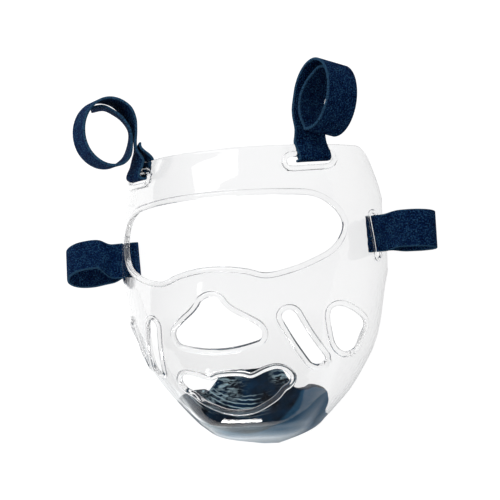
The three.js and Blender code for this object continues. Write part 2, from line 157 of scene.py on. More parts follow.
# %% Smooth outlines
def smooth_path(points, spacing, closed=False):
    """A smooth curve through points, with new points at even steps."""
    points = np.asarray(points, float)
    if closed:
        ends = np.vstack([points[-1:], points, points[:2]])
    else:
        ends = np.vstack([2 * points[:1] - points[1:2], points, 2 * points[-1:] - points[-2:-1]])
    gaps = np.maximum(np.linalg.norm(np.diff(ends, axis=0), axis=1) ** 0.5, 1e-4)
    w = np.linspace(0, 1, 60, endpoint=False)[:, None]
    spans = []
    for i in range(len(ends) - 3):
        p, q, r, s = ends[i:i + 4]
        a, b, c = gaps[i:i + 3]
        start = b * ((q - p) / a - (r - p) / (a + b) + (r - q) / b)
        stop = b * ((r - q) / b - (s - q) / (b + c) + (s - r) / c)
        spans.append((2 * w ** 3 - 3 * w ** 2 + 1) * q + (w ** 3 - 2 * w ** 2 + w) * start
                     + (3 * w ** 2 - 2 * w ** 3) * r + (w ** 3 - w ** 2) * stop)
    curve = np.vstack(spans + [points[:1] if closed else points[-1:]])
    return even_steps(curve, spacing, closed)


def even_steps(curve, spacing, closed=False):
    """The same curve with its points at even steps."""
    run = np.concatenate([[0], np.cumsum(np.linalg.norm(np.diff(curve, axis=0), axis=1))])
    at = np.linspace(0, run[-1], max(round(run[-1] / spacing), 8) + 1)
    if closed:
        at = at[:-1]
    return np.stack([np.interp(at, run, line) for line in curve.T], axis=-1)


def obround(start, end, half):
    """The outline of a slot with round ends."""
    start, end = np.array(start, float), np.array(end, float)
    along = (end - start) / np.linalg.norm(end - start)
    side = np.array([-along[1], along[0]])
    turn = np.linspace(-math.pi / 2, math.pi / 2, 25)[:, None]
    far = end + half * (along * np.cos(turn) + side * np.sin(turn))
    near = start - half * (along * np.cos(turn) + side * np.sin(turn))
    return np.vstack([far, near, far[:1]])


# %% [markdown]
# The openings are outlines drawn on the face. Half of each middle one is measured and the other half
# mirrored, so that the two sides match. The slots for the straps are plain slots with round ends.

# %% Outlines of the openings
STEP = 1.5              # mm between points on an outline
EYE = [(0, 36.3), (24, 35.8), (45, 34.5), (63, 32), (70.5, 27.5), (77, 19), (79, 10), (73.5, -2), (62, -9),
       (49, -13.3), (36, -15), (25, -11.5), (12, -9), (0, -8.2)]
NOSE = [(0, -27.4), (6, -29.8), (8.5, -33.3), (12.5, -37.4), (22.5, -44.3), (28.5, -49.2), (30, -53.5),
        (28.3, -58), (22.5, -60), (12, -62), (0, -62.9)]
MOUTH = [(0, -82), (8, -82.6), (14, -84.3), (25.5, -80.5), (32, -79.3), (36.5, -81.5), (38.7, -86),
         (36.5, -90), (31.5, -93), (26, -98), (18, -102.5), (9, -106), (0, -107)]
VENT = [(70.5, -43.5), (75, -42), (80.5, -46.5), (84, -55.5), (80.5, -65), (76, -73), (72, -73.8), (69, -69),
        (68.7, -58)]

openings = {}
for name, half in (("eye", EYE), ("nose", NOSE), ("mouth", MOUTH)):
    whole = half + [(-x, y) for x, y in half[-2:0:-1]]
    openings[name] = from_front(smooth_path(whole, STEP, closed=True))
right_side = {
    "vent": from_front(smooth_path(VENT, STEP, closed=True)),
    "cheek_slot": from_front(even_steps(obround((48, -45), (57, -75.5), 4.3), STEP, closed=True)),
    "top_slot": from_front(even_steps(obround((53, 55.8), (71, 55.8), 3), STEP, closed=True)),
    "side_slot": from_side(even_steps(obround((-10.5, 17.5), (14.5, 17.5), 3), STEP, closed=True)),
}
for name, places in right_side.items():
    openings[name + "_right"] = places
    openings[name + "_left"] = mirrored(places)
print("openings:", {name: len(places) for name, places in openings.items()})

# %% Outline of the whole shell
TOP_Y, TOP_Z = 68.5, 80     # mm, the top edge at the centre line
EAR_Y, EAR_CORNER = 65, 13  # mm, the top edge's lower end and its round corner
ARCH_Y, ARCH_HALF, ARCH_RISE, ARCH_BELOW = 2, 24, 5.6, 1     # mm, the arch over each side strap


def top_edge_y(z):
    return EAR_Y + (TOP_Y - EAR_Y) * np.clip((z - EAR_CORNER) / (TOP_Z - EAR_CORNER), 0, 1)


across = np.linspace(0, 0.9, 90)
y = np.full(len(across), TOP_Y)
for _ in range(20):
    y = top_edge_y(surface(row_at(y), across)[:, 2])
top = np.stack([row_at(y), across], axis=-1)
top = top[surface(top[:, 0], top[:, 1])[:, 2] > EAR_CORNER + 1]
angle = np.linspace(0, math.pi / 2, 16)
corner = from_side(np.stack([EAR_Y - EAR_CORNER + EAR_CORNER * np.cos(angle),
                             EAR_CORNER - EAR_CORNER * np.sin(angle)], axis=-1))
rim_y = np.linspace(EAR_Y - EAR_CORNER, -138.5, 280)[1:]
arch = (ARCH_RISE + ARCH_BELOW) * np.sqrt(np.maximum(1 - ((rim_y - ARCH_Y) / ARCH_HALF) ** 2, 0)) - ARCH_BELOW
rim = from_side(np.stack([rim_y, np.maximum(arch, 0)], axis=-1))
rim[:, 1] = np.where(arch > 0, rim[:, 1], 1)
chin = np.stack([np.full(9, float(LAST_ROW)), np.linspace(1, 0, 9)], axis=-1)
half_edge = np.vstack([top, corner, rim, chin])
edge = np.vstack([half_edge, (half_edge * (1, -1))[-2:0:-1]])
edge_points = middle(edge[:, 0], edge[:, 1])
print("shell edge: %d points, %.0f mm round" % (
    len(edge), np.linalg.norm(edge_points - np.roll(edge_points, 1, axis=0), axis=1).sum()))

# %% [markdown]
# Clear plastic shows every fault in its surface, so the shell's mesh follows its edges. A grid that is cut
# by booleans would leave thin triangles along each opening, and they would show as streaks. Here the shell
# is first laid out flat, as a pattern: rows of points run along every edge, an even net fills the rest, and
# one call joins them. The thickness then comes from the distance to the nearest edge, which gives each
# opening its raised round lip.

# %% Flat pattern
LIP, THIN_LIP = 2.0, 1.4    # mm, radius of the round lip at the openings, and at the side slots
# Distances of the rows from an edge: in radii of the lip, and in mm at the rim.
LIP_ROWS = np.array([0, 0.025, 0.1, 0.22, 0.4, 0.6, 0.8, 1, 1.2, 1.38, 1.52, 1.65, 1.78, 1.92, 2.15])
RIM_ROWS = (0, 0.05, 0.2, 0.45, 0.8, 1.2, 1.9)
NET = 2.2               # mm between the points of the net

spine = surface(ROW_TABLE, 0)
RUN_TABLE = np.concatenate([[0], np.cumsum(np.linalg.norm(np.diff(spine, axis=0), axis=1))])
ribs = surface(ROW_TABLE[:, None], np.linspace(0, 1, 80)[None, :])
GIRTH_TABLE = np.linalg.norm(np.diff(ribs, axis=1), axis=2).sum(axis=1)


def flat(places):
    """Places on the face laid out flat, in mm."""
    row, across = np.asarray(places).T
    girth, run = np.interp(row, ROW_TABLE, GIRTH_TABLE), np.interp(row, ROW_TABLE, RUN_TABLE)
    return np.stack([across * girth, -run], axis=-1)


print("pattern: %.0f x %.0f mm" % (2 * GIRTH_TABLE.max(), RUN_TABLE[-1]))

# %% Rows beside an edge
FINE_ROW, FINE_ACROSS = 0.01, 0.002     # half steps for the slope beside an edge


def edge_rows(places, distances, away):
    """Rows of places beside a closed edge, at distances along the wall. Away is 1 outwards, -1 inwards."""
    row, across = places.T
    points = middle(row, across)
    run = np.roll(points, -1, axis=0) - np.roll(points, 1, axis=0)
    side = np.cross(run, outward(row, across))
    side /= np.linalg.norm(side, axis=1, keepdims=True)
    side *= away * np.sign((side * (points - points.mean(axis=0))).sum())
    row, across = np.clip(row, 0.05, LAST_ROW - 0.05), np.clip(across, -0.988, 0.988)
    by_row = surface(row + FINE_ROW, across) - surface(row - FINE_ROW, across)
    by_across = surface(row, across + FINE_ACROSS) - surface(row, across - FINE_ACROSS)
    a, b, c = (by_row ** 2).sum(1), (by_row * by_across).sum(1), (by_across ** 2).sum(1)
    p, q = (by_row * side).sum(1), (by_across * side).sum(1)
    solved = a * c - b * b
    step = np.stack([2 * FINE_ROW * (c * p - b * q) / solved, 2 * FINE_ACROSS * (a * q - b * p) / solved],
                    axis=-1)
    return [places + distance * step for distance in distances]


# %% Thickness beside an edge
FOOT = 0.5              # mm, the soft foot of a lip


def lip_half(distance, radius):
    """Half the wall's thickness beside an opening: a round lip with a soft foot."""
    lip = math.sqrt(max(radius ** 2 - (distance - radius) ** 2, 0))
    wall = WALL / 2
    return lip if distance < radius else max(lip, wall) + max(FOOT - abs(lip - wall), 0) ** 2 / 2


def rim_half(distance):
    """Half the wall's thickness beside the rim, which is rounded."""
    wall = WALL / 2
    return math.sqrt(wall ** 2 - max(wall - distance, 0) ** 2)


print("lip: %.1f mm thick, wall %.1f mm" % (2 * lip_half(LIP, LIP), WALL))

# %% Nearest edge
loops = [(edge, RIM_ROWS, -1, 0)]
for name, places in openings.items():
    radius = THIN_LIP if "side_slot" in name else LIP
    loops.append((places, radius * LIP_ROWS, 1, radius))
tree = KDTree(sum(len(loop[0]) for loop in loops))
owner = []
for index, (places, _, _, _) in enumerate(loops):
    for point in middle(places[:, 0], places[:, 1]):
        tree.insert(point, len(owner))
        owner.append(index)
tree.balance()
print("edges: %d, with %d points" % (len(loops), len(owner)))

# %% Rows along every edge
FREE_FROM, APART = 1, 0.4       # mm, rows past the first keep the second from the next edge

found, halves, loop_of, edges = [], [], [], []
for index, (places, rows, away, radius) in enumerate(loops):
    for distance, ring in zip(rows, edge_rows(places, rows, away)):
        first = len(found)
        for place, point in zip(ring, middle(ring[:, 0], ring[:, 1])):
            if distance > FREE_FROM:
                nearest = tree.find(point)
                if owner[nearest[1]] != index and nearest[2] < distance + APART:
                    continue
            found.append(place)
            halves.append(lip_half(distance, radius) if radius else rim_half(distance))
            loop_of.append(index if distance == 0 else -1)
        if distance == 0:
            count = len(places)
            edges += [(first + i, first + (i + 1) % count) for i in range(count)]
print("edge rows: %d points" % len(found))

# %% Net between the edges
RIM_KEEP, EDGE_KEEP = 0.995, 0.6    # how far across the net goes, and its gap to the edge rows in net steps

width, length = GIRTH_TABLE.max(), RUN_TABLE[-1]
net = []
for k, down in enumerate(np.arange(0, length, NET * math.sqrt(3) / 2)):
    line = np.arange(-width, width, NET) + (k % 2) * NET / 2
    row = np.interp(down, RUN_TABLE, ROW_TABLE)
    across = line / np.interp(row, ROW_TABLE, GIRTH_TABLE)
    net += [(row, a) for a in across if abs(a) < RIM_KEEP]
net = np.array(net)


def inside(points, outline):
    """Which points lie inside a closed outline."""
    hit = np.zeros(len(points), bool)
    for (x1, y1), (x2, y2) in zip(outline, np.roll(outline, -1, axis=0)):
        if y1 != y2:
            between = (points[:, 1] > y1) != (points[:, 1] > y2)
            hit ^= between & (points[:, 0] < x1 + (points[:, 1] - y1) * (x2 - x1) / (y2 - y1))
    return hit


flat_net = flat(net)
keep = inside(flat_net, flat(edge))
for places in openings.values():
    keep &= ~inside(flat_net, flat(places))
net = net[keep]
for place, point in zip(net, middle(net[:, 0], net[:, 1])):
    nearest = tree.find(point)
    room = loops[owner[nearest[1]]][1][-1] + EDGE_KEEP * NET
    if nearest[2] > room:
        found.append(place)
        halves.append(WALL / 2)
        loop_of.append(-1)
found, halves, loop_of = np.array(found), np.array(halves), np.array(loop_of)
print("pattern: %d points" % len(found))

# %% Join the pattern
joined = delaunay_2d_cdt([Vector(p) for p in flat(found)], edges, [], 0, 1e-7, True)
source = np.array([ids[0] for ids in joined[3]])
triangles = source[np.array(joined[2])]
on_loop = loop_of[triangles]
outside = (on_loop[:, 0] >= 0) & (on_loop[:, 0] == on_loop[:, 1]) & (on_loop[:, 0] == on_loop[:, 2])
triangles = triangles[~outside]
print("joined: %d triangles" % len(triangles))

# %% Fold it up
centre = middle(found[:, 0], found[:, 1])
out = outward(found[:, 0], found[:, 1])
front_face = centre + out * halves[:, None]
back_face = centre - out * halves[:, None]
back_id = np.where(loop_of >= 0, np.arange(len(found)), np.arange(len(found)) + len(found))
points = np.vstack([front_face, back_face])
points[:, 2] = np.maximum(points[:, 2], 0)
faces = np.vstack([triangles, back_id[triangles][:, ::-1]])
print("folded: %.1f mm high" % points[:, 2].max())


# %% Clear shell
def new_piece(name, points, faces):
    """A mesh object from points in face millimetres."""
    mesh = bpy.data.meshes.new(name)
    placed = (np.asarray(points, float) + (0, FACE_Y, 0)) * MM
    mesh.from_pydata(placed.tolist(), [], np.asarray(faces).tolist())
    piece = bpy.data.objects.new(name, mesh)
    bpy.context.scene.collection.objects.link(piece)
    return piece


def only(piece):
    """Selects one piece alone and makes it the active one."""
    bpy.ops.object.select_all(action="DESELECT")
    piece.select_set(True)
    bpy.context.view_layer.objects.active = piece


shell = new_piece("clear_shell", points, faces)
only(shell)
bpy.ops.object.mode_set(mode="EDIT")
bpy.ops.mesh.select_all(action="SELECT")
bpy.ops.mesh.delete_loose()
bpy.ops.object.mode_set(mode="OBJECT")
bpy.ops.object.shade_smooth()
print("shell: %d triangles" % len(shell.data.polygons))

# %% [markdown]
# The chin cushion is foam dipped in vinyl, so it is one soft closed form with no seams and no hard corner.
# A cage of a few faces under a subdivision surface could give it, but it also has to lie along the inside
# of the chin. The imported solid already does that, so a copy of it is remeshed to an even skin and smoothed
# until its edges are round. Its two ends are plump on the real one, so a vertex group rounds them further.

# %% Helpers for soft pieces
def applied(piece, kind, **settings):
    """Adds a modifier to a piece and applies it."""
    only(piece)
    bpy.ops.object.modifier_add(type=kind)
    made = piece.modifiers[-1]
    for key, value in settings.items():
        setattr(made, key, value)
    bpy.ops.object.modifier_apply(modifier=made.name)


def smoothstep(value, low, high):
    """Rises softly from 0 at low to 1 at high."""
    share = np.clip((value - low) / (high - low), 0, 1)
    return share * share * (3 - 2 * share)


# %% Chin cushion
SKIN_STEP = 0.9         # mm between the points of the skin
ROUND, ROUND_ENDS = 14, 110     # passes of smoothing, all over and at the ends
END_FROM, END_TO = 30, 44       # mm from the centre line, where an end starts and where it is fully rounded
DIMPLE, DIMPLE_DEEP = 9, 0.5    # mm

cushion = bpy.data.objects.new("chin_cushion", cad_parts["chin_pad"].data.copy())
bpy.context.scene.collection.objects.link(cushion)
only(cushion)
bpy.ops.object.mode_set(mode="EDIT")
bpy.ops.mesh.select_all(action="SELECT")
bpy.ops.mesh.remove_doubles(threshold=0.01 * MM)
bpy.ops.object.mode_set(mode="OBJECT")
cushion.data.remesh_voxel_size = SKIN_STEP * MM
bpy.ops.object.voxel_remesh()
applied(cushion, "SMOOTH", factor=0.5, iterations=ROUND)
ends = cushion.vertex_groups.new(name="round_ends")
for vertex in cushion.data.vertices:
    ends.add([vertex.index], float(smoothstep(abs(vertex.co.x) / MM, END_FROM, END_TO)), "REPLACE")
applied(cushion, "SMOOTH", factor=0.5, iterations=ROUND_ENDS, vertex_group="round_ends")
dimples = bpy.data.textures.new("foam_dimples", "CLOUDS")
dimples.noise_scale = DIMPLE * MM
applied(cushion, "DISPLACE", texture=dimples, texture_coords="LOCAL", strength=DIMPLE_DEEP * MM, mid_level=0.6)
print("chin cushion: %d faces" % len(cushion.data.polygons))

# %% [markdown]
# On the real shield the dip bonds the cushion to the chin of the shell, so no film of air lies between the
# two. That matters for the look: a gap would mirror the room and turn the dark cushion grey. The cushion's
# lower edge is drawn down to the rim, and then a shrinkwrap with a vertex group presses the outer skin into
# the wall by a hair. Where the skin lies on the chin, and along its upper edge, the finish paints it a paler
# slate-blue: a painted sheen that stands in for the bright floor that the chin mirrors. An attribute on the
# mesh keeps how much, for the finish to read.

# %% Cushion drawn down to the rim
LOW, RIM_GAP = 7 * MM, 0.25 * MM        # skin under the first height is stretched down to the second

lowest = min(v.co.z for v in cushion.data.vertices)
for vertex in cushion.data.vertices:
    if vertex.co.z < LOW:
        vertex.co.z = RIM_GAP + (vertex.co.z - lowest) * (LOW - RIM_GAP) / (LOW - lowest)
print("cushion: its edge came down by %.2f mm" % ((lowest - RIM_GAP) / MM))

# %% Cushion pressed into the chin
CONTACT, CONTACT_FADE = 3.4 * MM, 1.6 * MM      # where pressing starts, and how softly
PRESS = 0.15 * MM                               # how far into the wall
FACING_WALL, FACING_UP = -0.25, 0.6             # limits for skin that faces the wall, and for the upper edge
OVAL_X, OVAL_Y, OVAL_NARROW = -2, -80, 0.85     # mm, middle of the upper edge's oval, and its shape
OVAL_FROM, OVAL_TO = 32.5, 34.5                 # mm from there, where the painted sheen starts and where it is full
WEAK_FROM, WEAK_TO, WEAK = -14, -34, 0.2        # mm, the painted sheen weakens towards the left end, to this share

wall = BVHTree.FromObject(shell, bpy.context.evaluated_depsgraph_get())
pressed = cushion.vertex_groups.new(name="against_the_shell")
sheen_shares, count = [], 0
for vertex in cushion.data.vertices:
    _, facing, _, distance = wall.find_nearest(vertex.co)
    touching = facing.dot(vertex.normal) < FACING_WALL and distance < CONTACT
    if touching:
        pressed.add([vertex.index], min(1, (CONTACT - distance) / CONTACT_FADE), "REPLACE")
        count += 1
    # Painted sheen: the share of paler slate-blue painted on this point where the skin lies on the chin or
    # faces up, for light the chin mirrors.
    x, y, _ = vertex.co / MM
    sheen_share = smoothstep(math.hypot(OVAL_NARROW * (x - OVAL_X), y - OVAL_Y), OVAL_FROM, OVAL_TO)
    sheen_share *= WEAK + (1 - WEAK) * smoothstep(x, WEAK_TO, WEAK_FROM)
    sheen_shares.append(sheen_share if touching or vertex.normal.z > FACING_UP else 0)
applied(cushion, "SHRINKWRAP", target=shell, wrap_method="NEAREST_SURFACEPOINT", wrap_mode="ABOVE_SURFACE",
        offset=-PRESS, vertex_group="against_the_shell")
bpy.ops.object.shade_smooth()
cushion.data.attributes.new("painted_sheen", "FLOAT", "POINT").data.foreach_set("value", sheen_shares)
print("cushion: %d points lie on the shell" % count)

# %% [markdown]
# Each strap is hook-and-loop webbing, 25 mm wide, passed through its slot and closed on itself. A curve
# with a flat bevel would give a band with hard ends and no thickness of its own. Instead a flat strip is
# made first, as it is cut from the roll: a grid, thickened and with its edges rounded. It is then carried
# along the strap's path, so that its length, its folds and the pattern on it stay true to the cloth.

# %% Strip of webbing
STRAP_WIDTH, STRAP_THICK = 25, 1.8      # mm
FACE_LONG, FACES_ACROSS, EDGE_ROUND = 0.8, 14, 0.6      # mm along the strip, faces across it, mm of rounding


def strip(name, length):
    """A flat strip of webbing along X, in millimetres from its start, with its own UV map in millimetres."""
    bpy.ops.object.select_all(action="DESELECT")
    bpy.ops.mesh.primitive_grid_add(
        x_subdivisions=round(length / FACE_LONG), y_subdivisions=FACES_ACROSS, size=1)
    piece = bpy.context.active_object
    piece.name = piece.data.name = name
    piece.scale = (length, STRAP_WIDTH, 1)
    bpy.ops.object.transform_apply(location=False, rotation=False, scale=True)
    applied(piece, "SOLIDIFY", thickness=STRAP_THICK, offset=0)
    applied(piece, "BEVEL", width=EDGE_ROUND, segments=3, limit_method="ANGLE",
            angle_limit=math.radians(60))
    flat_points = np.array([v.co for v in piece.data.vertices])
    flat_points[:, 0] += length / 2
    weave = piece.data.uv_layers.active or piece.data.uv_layers.new()
    weave.name = "weave"
    for loop in piece.data.loops:
        weave.data[loop.index].uv = flat_points[loop.vertex_index, :2]
    return piece, flat_points


# %% Strip carried along a path
def carried(name, path, across, out, bow):
    """A strip laid along a path. Across and out are its directions at each point, bow lifts its middle."""
    run = np.concatenate([[0], np.cumsum(np.linalg.norm(np.diff(path, axis=0), axis=1))])
    piece, flat_points = strip(name, run[-1])
    s, a, b = flat_points.T

    def at(values):
        return np.stack([np.interp(s, run, line) for line in values.T], axis=-1)

    share = (2 * a / STRAP_WIDTH)[:, None]
    placed = at(path) + at(across) * a[:, None] + at(out) * b[:, None] + at(bow) * (0.5 - share ** 2)
    placed = (placed + (0, FACE_Y, 0)) * MM
    for vertex, point in zip(piece.data.vertices, placed):
        vertex.co = point
    only(piece)
    bpy.ops.object.shade_smooth_by_angle(angle=math.radians(50))
    print("%s: %.0f mm of webbing, %d faces" % (name, run[-1], len(piece.data.polygons)))
    return piece


def directions(path):
    """The direction of a path at each of its points."""
    run = np.gradient(path, axis=0)
    return run / np.linalg.norm(run, axis=1, keepdims=True)


# %% [markdown]
# A top strap stands up from its slot as a ring. Its free end lies inside the ring, and its other end comes
# back through the slot and up behind the neck. The path is written as a person would bend it: stops round
# the ring, then down the neck and up again, each with a share of the turn that the cloth takes there. The
# two rings lie a little differently, as loose straps do.

# %% Stops of a top strap
PATH_STEP = 0.5         # mm between the points of a strap's path
RING_TALL = 23          # mm, half the height of a top strap's ring
SLOT_X, SLOT_Y, SLOT_SHIFT = 62, 55.8, 4            # mm, the slot's middle, and the strap's place in it
BOW, BOW_FROM, BOW_TO = 0.8, 13, 22                 # mm, the cloth's bow at the slot, and where it fades
LEAN_FROM, LEAN_TO, LEAN_NEAR, LEAN_FAR = 20, 34, 4, 16     # mm up and out, where a ring leans
DRIFT_FROM, DRIFT_TO = 1.6, 3.6                     # mm behind the wall, where the inner leg drifts aside
# Round the ring: degrees from its top, mm inside it, and the share of the free end's or of the neck's spin.
FREE_END = [(30, 2.6, 1), (0, 4.6, 1), (-28, 6.2, 1), (-56, 5.4, 1), (-85, 3.4, 0.95), (-112, 2.5, 0.7),
            (-140, 0.6, 0.35)]
RING_TURNS = [(-167, 0), (168, 0), (144, 0), (120, 0), (96, 0), (72, 0), (48, 0), (24, 0), (0, 0), (-24, 0),
              (-48, 0), (-70, 0.35), (-88, 0.7)]
# Down the neck and back up inside: mm above the slot, mm out from the wall, and the share of the neck's spin.
OUTER_LEG = [(21, -1.1, 0.9), (16, -1.3, 0.35), (12.5, -1.4, 0), (9, -0.2, 0), (5, 2.1, 0), (1.8, 2.9, 0),
             (0, 0, 0)]
INNER_LEG = [(0.4, -3.4, 0), (4, -6, 0), (9, -7.2, 0), (12.8, -8.3, 0), (16, -7.4, 0.35), (19, -5.4, 0.7),
             (22, -4.1, 0.9), (25, -3.9, 0.85)]
print("top strap: %d stops" % len(FREE_END + RING_TURNS + OUTER_LEG + INNER_LEG))


# %% Top straps
def top_strap(name, side, turn, rise, out, wide, lean, end_spin, ring_spin, neck_spin, drift):
    """A strap from its free end once round the ring, through the slot and up behind its own start."""
    def around(degrees, inset, spin):
        angle = math.radians(degrees)
        return (rise + (RING_TALL - inset) * math.cos(angle), out + (wide - inset) * math.sin(angle),
                math.radians(spin))

    stops = [around(turned, inset, ring_spin + share * (end_spin - ring_spin))
             for turned, inset, share in FREE_END]
    stops += [around(turned, 0, ring_spin + share * (neck_spin - ring_spin)) for turned, share in RING_TURNS]
    stops += [(height, away, math.radians(share * neck_spin)) for height, away, share in OUTER_LEG + INNER_LEG]
    line = smooth_path(stops, PATH_STEP)
    height, away, spun = line.T[:, :, None]
    turn = math.radians(turn)
    place = from_front([(SLOT_X + SLOT_SHIFT * math.cos(turn), SLOT_Y)])
    start = middle(place[:, 0], place[:, 1])[0] * (side, 1, 1)
    along = np.array([side * math.cos(turn), 0, -math.sin(turn)])
    up = np.array([0, 1, 0])
    from_wall = np.array([side * math.sin(turn), 0, math.cos(turn)])
    leaning = np.maximum(smoothstep(height, LEAN_FROM, LEAN_TO), smoothstep(away, LEAN_NEAR, LEAN_FAR))
    tipped = math.radians(lean) * leaning
    sideways = along * np.cos(tipped) - up * np.sin(tipped)
    upright = up * np.cos(tipped) + along * np.sin(tipped)
    across = sideways * np.cos(spun) - from_wall * np.sin(spun)
    outwards = from_wall * np.cos(spun) + sideways * np.sin(spun)
    hinge = out - wide
    path = start + up * rise + upright * (height - rise) + from_wall * hinge + outwards * (away - hinge)
    path = path + along * drift * smoothstep(-away, DRIFT_FROM, DRIFT_TO)
    run = directions(line[:, :2])
    faced = outwards * run[:, :1] - upright * run[:, 1:]
    bow = BOW * (1 - smoothstep(height, BOW_FROM, BOW_TO)) * from_wall
    return carried(name, path, across, faced, bow)


top_left = top_strap("top_webbing_left", -1, turn=47, rise=33.4, out=18.5, wide=20, lean=0,
                     end_spin=19, ring_spin=0, neck_spin=19, drift=0)
top_right = top_strap("top_webbing_right", 1, turn=49, rise=39.5, out=17, wide=17, lean=12,
                      end_spin=19, ring_spin=7, neck_spin=7, drift=4)

# %% [markdown]
# A side strap goes through its slot, back under the rim and out again, and closes into a flattened ring. A
# bend modifier could curl a strip, but it can't pass it through a slot. So the ring is drawn once as a
# closed outline in the X and Z directions, and the same outline serves both sides, each with its own twist
# towards the outer end.

# %% Side straps
SIDE_LOOP = [(91.6, 17.5), (87.5, 15.3), (86.2, 11.5), (87.2, 6.2), (90.7, 3), (95.2, 2.4), (101, 3.5),
             (112, 9), (124, 13), (132.5, 19.5), (135.8, 27), (133.5, 33.5), (126.5, 36.2), (116, 33.5),
             (106, 27), (97.3, 20.6)]
TWIST_FROM, TWIST_TO = 99.5, 113        # mm from the centre line, where the twist starts and where it is full
TWIST_X, TWIST_Z, TWIST_SLOPE = 100, 13, 12 / 22        # mm, the line that the ring twists about


def side_strap(name, side, middle_y, twist, skew):
    """A strap through its slot, closed into a flattened ring that twists towards its outer end."""
    line = smooth_path(SIDE_LOOP, PATH_STEP, closed=True)
    line = np.vstack([line, line[:1]])
    run = directions(line)
    x, z = line.T
    share = smoothstep(x, TWIST_FROM, TWIST_TO)
    turn = math.radians(twist) * share
    pivot = TWIST_Z + TWIST_SLOPE * (x - TWIST_X)
    lift = np.stack([0 * x, np.sin(turn), np.cos(turn)], axis=-1)
    pulled = x - skew * share * STRAP_WIDTH / 2
    path = np.stack([side * pulled, 0 * x + middle_y, pivot], axis=-1) + lift * (z - pivot)[:, None]
    across = np.stack([side * skew * share, np.cos(turn), -np.sin(turn)], axis=-1)
    across /= np.linalg.norm(across, axis=1, keepdims=True)
    faced = lift * run[:, :1] + np.stack([-side * run[:, 1], 0 * x, 0 * x], axis=-1)
    return carried(name, path, across, faced, 0 * path)


side_left = side_strap("side_webbing_left", -1, middle_y=0.8, twist=33, skew=0.22)
side_right = side_strap("side_webbing_right", 1, middle_y=3.2, twist=9, skew=0)

# %% [markdown]
# Every colour is noted as a hex value, as on a paint card, and turned to the linear light that Blender
# mixes. One small function adds a node with its values and links. Pattern sizes are given in millimetres on
# the object.

# %% Helpers for finishes
def hex_colour(code):
    """The linear colour of an sRGB hex value."""
    parts = [int(code[i:i + 2], 16) / 255 for i in (1, 3, 5)]
    return [c / 12.92 if c <= 0.04045 else ((c + 0.055) / 1.055) ** 2.4 for c in parts] + [1]


def per_mm(size):
    """The scale of a pattern on Object coordinates whose features are this many millimetres."""
    return 1 / (size * MM)


def add(tree, kind, values=None, links=None, stops=(), **settings):
    """Adds a node with its settings, values and links, and the stops of its colour ramp if it has one."""
    made = tree.nodes.new(kind)
    for key, value in settings.items():
        setattr(made, key, value)
    for key, value in (values or {}).items():
        made.inputs[key].default_value = value
    for key, (source, socket) in (links or {}).items():
        tree.links.new(source.outputs[socket], made.inputs[key])
    if stops:
        elements = made.color_ramp.elements
        while len(elements) < len(stops):
            elements.new(0.5)
        for element, (place, colour) in zip(elements, stops):
            element.position, element.color = place, colour
    return made


def finish_material(name, **principled):
    """A new material, its nodes and its shader, with values for the shader's sockets."""
    material = bpy.data.materials.new(name)
    material.use_nodes = True
    shader = material.node_tree.nodes["Principled BSDF"]
    for key, value in principled.items():
        shader.inputs[key.replace("_", " ")].default_value = value
    return material, material.node_tree, shader


print("navy in linear light:", [round(c, 4) for c in hex_colour("#0B3858")])

# %% [markdown]
# The shell is polycarbonate, moulded and polished. A plain glass shader would do for its look, but the
# principled one also carries over to an exported model, so transmission is set there. Polycarbonate bends
# light more than glass does, with an IOR of 1.585, and is almost without colour. A faint wave from the
# mould keeps its highlights from looking drawn.

# %% Clear polycarbonate
clear, tree_c, shader = finish_material(
    "clear_polycarbonate", Transmission_Weight=1.0, IOR=1.585, Base_Color=hex_colour("#F4F4F4"))
coords = add(tree_c, "ShaderNodeTexCoord")
scuffs = add(tree_c, "ShaderNodeTexNoise", {"Scale": per_mm(14), "Detail": 3}, {"Vector": (coords, "Object")})
gloss = add(tree_c, "ShaderNodeMapRange", {"To Min": 0.0, "To Max": 0.05}, {"Value": (scuffs, "Fac")})
tree_c.links.new(gloss.outputs["Result"], shader.inputs["Roughness"])
flow = add(tree_c, "ShaderNodeTexNoise", {"Scale": per_mm(9), "Detail": 2}, {"Vector": (coords, "Object")})
wave = add(tree_c, "ShaderNodeBump", {"Strength": 0.25, "Distance": 0.4 * MM}, {"Height": (flow, "Fac")})
tree_c.links.new(wave.outputs["Normal"], shader.inputs["Normal"])
shell.data.materials.append(clear)
print("finish:", clear.name)

# %% [markdown]
# The cushion's skin is navy vinyl, dipped thick over the foam. It has a soft gloss and a cloudy depth of
# colour. Painted light is laid on it as well: a paler slate-blue sheen where it lies on the clear chin,
# for the bright floor that the chin mirrors; near-white streaks of painted highlight where the tab bends
# beside the mouth; and long creases round the cup below, painted near-white as highlights. A painted map
# could show all of it, but noise and rings placed on the object need no image and stay sharp at any size.

# %% Dipped vinyl, colour
vinyl, tree_v, vinyl_shader = finish_material("dipped_navy_vinyl", IOR=1.5, Specular_IOR_Level=0.08)
coords = add(tree_v, "ShaderNodeTexCoord")
cloud = add(tree_v, "ShaderNodeTexNoise", {"Scale": per_mm(11), "Detail": 4}, {"Vector": (coords, "Object")})
tint = add(tree_v, "ShaderNodeValToRGB", links={"Fac": (cloud, "Fac")},
           stops=[(0.35, hex_colour("#040D18")), (0.7, hex_colour("#0B3858"))])
# Painted sheen: a paler slate-blue mixed in by the mesh attribute, standing in for the bright floor that the
# chin mirrors.
painted_sheen = add(tree_v, "ShaderNodeAttribute", attribute_name="painted_sheen")
with_painted_sheen = add(tree_v, "ShaderNodeMix", {"B": hex_colour("#3B7096")},
              {"Factor": (painted_sheen, "Fac"), "A": (tint, "Color")}, data_type="RGBA")
wear = add(tree_v, "ShaderNodeMapRange", {"To Min": 0.2, "To Max": 0.4}, {"Value": (cloud, "Fac")})
tree_v.links.new(wear.outputs["Result"], vinyl_shader.inputs["Roughness"])
print("finish:", vinyl.name)

